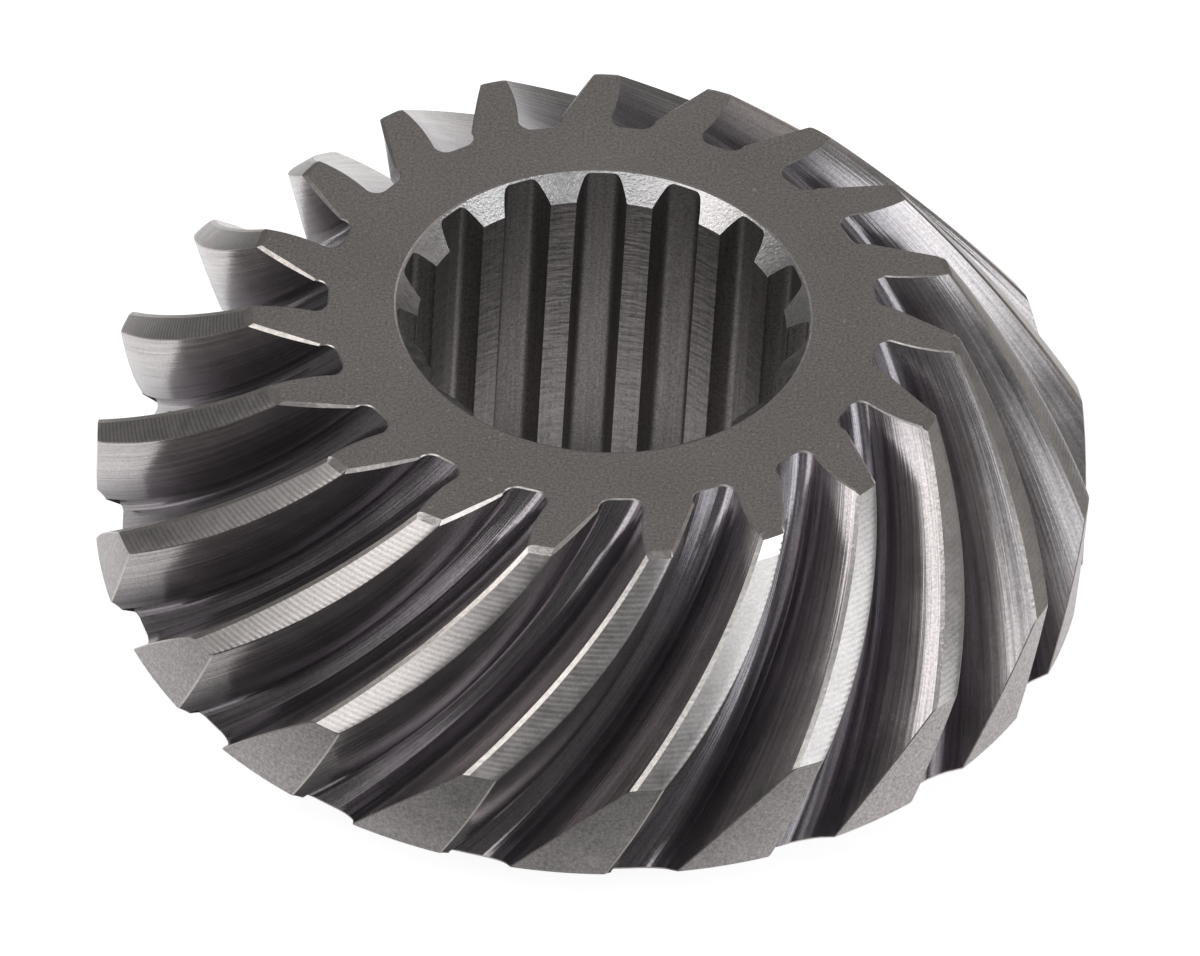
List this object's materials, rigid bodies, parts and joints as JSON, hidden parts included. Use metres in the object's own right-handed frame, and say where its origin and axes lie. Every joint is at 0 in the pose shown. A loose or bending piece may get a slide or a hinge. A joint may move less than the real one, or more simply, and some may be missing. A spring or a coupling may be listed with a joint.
{
  "type": "spiral bevel gear",
  "caption": "One-piece steel spiral bevel gear with curved teeth on a cone, a flat small end and a splined through bore.",
  "frame": {"origin": "centre of the bore at the flat back face, which the gear stands on", "axes": "+Z along the gear's axis, from the back face towards the small end of the teeth; -Y faces the viewer of the picture"},
  "size_m": [0.0602, 0.0602, 0.025],
  "materials": {
    "steel": "dull machined steel with bright tooth tops and bore chamfer"
  },
  "bodies": {
    "root": {"bevel_gear": "steel"}
  },
  "joints": []
}
